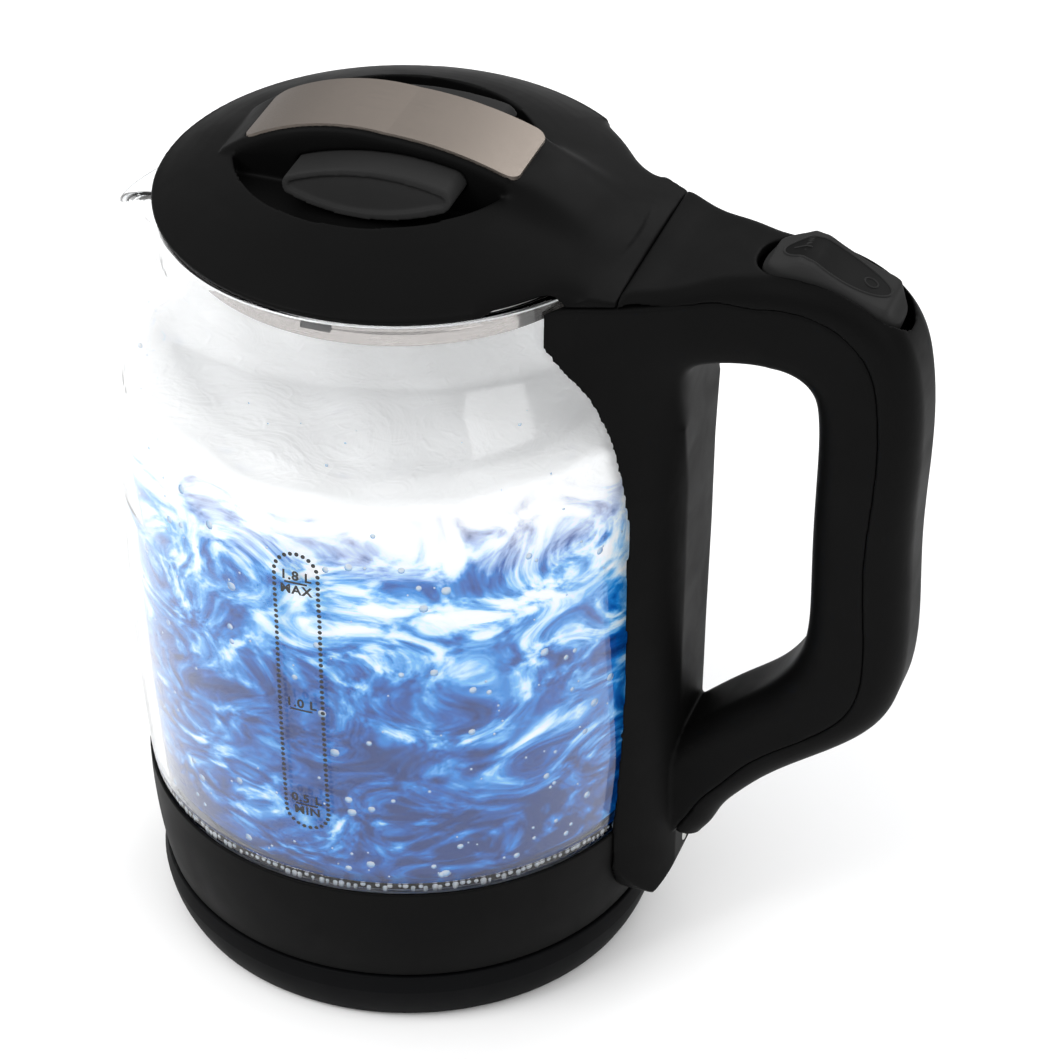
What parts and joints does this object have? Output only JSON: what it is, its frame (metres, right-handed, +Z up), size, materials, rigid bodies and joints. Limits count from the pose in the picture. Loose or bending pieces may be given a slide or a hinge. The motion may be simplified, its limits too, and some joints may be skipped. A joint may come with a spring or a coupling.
{
  "type": "electric kettle",
  "caption": "Glass jug kettle with black handle, lift-off lid with pinch buttons and steel trim, on a round cordless power base.",
  "frame": {"origin": "on the jug's vertical axis, at the counter under the power base", "axes": "+Z up, +X from the jug to the handle, -X to the spout"},
  "size_m": [0.2281, 0.1574, 0.2542],
  "materials": {
    "base_plastic": "satin moulded black",
    "black_plastic": "satin moulded black",
    "grey_plastic": "satin moulded dark grey",
    "inner_plastic": "plain moulded",
    "clear_glass": "clear, fire-polished rim",
    "plate_steel": "brushed in circles",
    "trim_steel": "brushed lengthwise",
    "ring_steel": "polished",
    "screw_steel": "zinc plated",
    "spring_steel": "drawn wire",
    "spreader_aluminium": "as rolled",
    "contact_brass": "as pressed",
    "seal_silicone": "translucent grey silicone",
    "foot_rubber": "matt",
    "board_laminate": "lacquered",
    "lamp_resin": "clear blue resin",
    "wire_sheath": "heat-proof sleeving"
  },
  "bodies": {
    "power_base": {"base_cover": "base_plastic", "base_plate": "base_plastic", "rubber_feet": "foot_rubber", "base_screws": "screw_steel", "base_connector": "black_plastic", "base_contacts": "contact_brass", "cord_grommet": "foot_rubber", "cord_clamp": "inner_plastic", "clamp_screws": "screw_steel"},
    "kettle": {"collar": "black_plastic", "under_cover": "black_plastic", "under_cover_screws": "screw_steel", "heating_plate": "plate_steel", "plate_clamp_ring": "screw_steel", "jug_seal": "seal_silicone", "heat_spreader": "spreader_aluminium", "heating_element": "spreader_aluminium", "control_body": "inner_plastic", "control_contacts": "contact_brass", "dry_boil_discs": "contact_brass", "control_studs": "screw_steel", "lamp_board": "board_laminate", "lamps": "lamp_resin", "glass_jug": "clear_glass", "handle_strap": "black_plastic", "handle_inner_shell": "black_plastic", "handle_outer_shell": "black_plastic", "strap_screw": "screw_steel", "handle_screws": "screw_steel", "rocker_pin": "screw_steel", "steam_switch_housing": "inner_plastic", "steam_bimetal": "contact_brass", "switch_contacts": "contact_brass", "lead_wires": "wire_sheath"},
    "lid": {"lid_cover": "black_plastic", "lid_trim": "trim_steel", "lid_plug": "black_plastic", "lid_ring": "ring_steel", "lid_seal": "seal_silicone", "lid_screws": "screw_steel", "latch_spring_front": "spring_steel", "latch_spring_rear": "spring_steel"},
    "pinch_front": {"pinch_button_front": "grey_plastic", "latch_arm_front": "inner_plastic"},
    "pinch_rear": {"pinch_button_rear": "grey_plastic", "latch_arm_rear": "inner_plastic"},
    "rocker": {"rocker_switch": "grey_plastic"},
    "lever": {"trip_lever": "inner_plastic"}
  },
  "joints": [
    {"name": "kettle_lift", "type": "slide", "parent": "power_base", "child": "kettle", "axis": [0, 0, 1], "range_m": [0, 0.06]},
    {"name": "lid_lift", "type": "slide", "parent": "kettle", "child": "lid", "axis": [0, 0, 1], "range_m": [0, 0.06]},
    {"name": "pinch_front_press", "type": "slide", "parent": "lid", "child": "pinch_front", "axis": [0, 1, 0], "range_m": [0, 0.004], "stiffness_N_per_m": 300, "springref_m": -0.002, "deforming": ["latch_spring_front"]},
    {"name": "pinch_rear_press", "type": "slide", "parent": "lid", "child": "pinch_rear", "axis": [0, -1, 0], "range_m": [0, 0.004], "stiffness_N_per_m": 300, "springref_m": -0.002, "deforming": ["latch_spring_rear"]},
    {"name": "rocker_tilt", "type": "hinge", "parent": "kettle", "child": "rocker", "pos_m": [0.12, 0, 0.2215], "axis": [0, -1, 0], "range_deg": [0, 12]},
    {"name": "lever_tip", "type": "hinge", "parent": "kettle", "child": "lever", "pos_m": [0.11, 0, 0.2158], "axis": [0, -1, 0], "range_deg": [0, 6]}
  ],
  "couplings": [
    {"joint": "lever_tip", "follows": "rocker_tilt", "ratio": 0.5}
  ]
}
